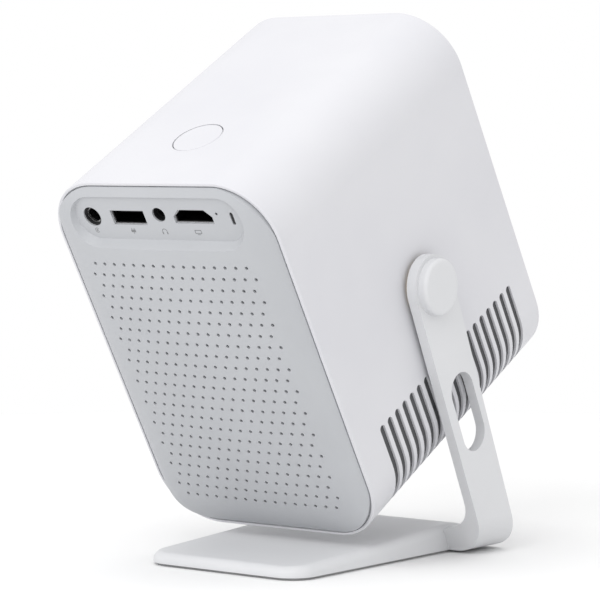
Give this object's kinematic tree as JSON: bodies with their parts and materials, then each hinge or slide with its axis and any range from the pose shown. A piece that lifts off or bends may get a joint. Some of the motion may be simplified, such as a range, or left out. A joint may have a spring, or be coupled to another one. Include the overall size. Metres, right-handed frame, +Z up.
{
  "type": "home projector",
  "caption": "Upright white home projector that tilts on a one-arm stand with a wedge base, with rear sockets, a perforated back and side vents.",
  "frame": {"origin": "on the floor straight below the tilt axis, on the middle plane of the head", "axes": "+X towards the arm of the stand, +Y the way the lens looks seen from above, +Z up"},
  "size_m": [0.0972, 0.161, 0.1791],
  "materials": {
    "stand_white": "fine satin white",
    "shell_white": "fine satin white",
    "panel_white": "fine satin white",
    "button_white": "fine satin white",
    "cap_white": "fine satin white",
    "cover_grey": "satin light grey",
    "steel": "zinc plated steel",
    "pad_rubber": "soft grey rubber",
    "brass": "turned brass",
    "mesh_grey": "dark grey woven mesh",
    "front_black": "gloss black",
    "black_plastic": "matt black",
    "chassis_plastic": "matt dark grey",
    "board_green": "solder mask green",
    "plated_metal": "nickel plated",
    "lens_glass": "coated optical glass",
    "optic_plastic": "clear acrylic",
    "lcd_glass": "dark liquid crystal glass",
    "sink_aluminium": "extruded aluminium",
    "led_copper": "bare copper plate",
    "fan_plastic": "matt black",
    "speaker_black": "black paper cone",
    "led_lens": "smoked clear"
  },
  "bodies": {
    "stand": {"stand_frame": "stand_white", "base_weight": "steel", "base_cover": "cover_grey", "foot_mat": "pad_rubber", "base_screws": "steel", "pivot_cap": "cap_white", "pivot_shaft": "steel", "friction_washer": "steel", "pivot_nut": "steel"},
    "head": {"hinge_bracket": "steel", "hinge_bush": "brass", "bracket_screws": "steel", "main_shell": "shell_white", "vent_mesh": "mesh_grey", "rear_panel": "panel_white", "front_panel": "front_black", "chassis": "chassis_plastic", "shell_screws": "steel", "main_board": "board_green", "board_screws": "steel", "board_chips": "black_plastic", "driver_board": "board_green", "dc_jack": "black_plastic", "dc_contact": "plated_metal", "usb_socket": "plated_metal", "usb_tongue": "black_plastic", "audio_jack": "black_plastic", "hdmi_socket": "plated_metal", "hdmi_tongue": "black_plastic", "status_led": "led_lens", "remote_receiver": "black_plastic", "button_switch": "black_plastic", "engine_case": "black_plastic", "led_module": "led_copper", "heat_sink": "sink_aluminium", "condenser_lens": "lens_glass", "fresnel_lenses": "optic_plastic", "lcd_panel": "lcd_glass", "lens_mount": "black_plastic", "fan_frame": "fan_plastic", "speaker": "speaker_black"},
    "button": {"power_button": "button_white"},
    "ring": {"focus_ring": "fan_plastic"},
    "barrel": {"lens_barrel": "black_plastic", "lens_elements": "lens_glass"},
    "impeller": {"fan_impeller": "fan_plastic"}
  },
  "joints": [
    {"name": "head_tilt", "type": "hinge", "parent": "stand", "child": "head", "pos_m": [0.04, 0, 0.0905], "axis": [1, 0, 0], "range_deg": [-40, 60]},
    {"name": "power_press", "type": "slide", "parent": "head", "child": "button", "axis": [0, -0.5, 0.866], "range_m": [-0.0008, 0], "stiffness_N_per_m": 900, "springref_m": 0.0006},
    {"name": "focus_turn", "type": "hinge", "parent": "head", "child": "ring", "pos_m": [0, 0.0338, 0.13195], "axis": [0, 0.866, 0.5], "range_deg": [-60, 60]},
    {"name": "lens_focus", "type": "slide", "parent": "head", "child": "barrel", "axis": [0, 0.866, 0.5], "range_m": [-0.0025, 0.0025]},
    {"name": "fan_spin", "type": "hinge", "parent": "head", "child": "impeller", "pos_m": [0, 0.03326, 0.0589], "axis": [0, -0.5, 0.866], "continuous": true}
  ],
  "couplings": [
    {"joint": "lens_focus", "follows": "focus_turn", "m_per_rad": 0.00238}
  ]
}
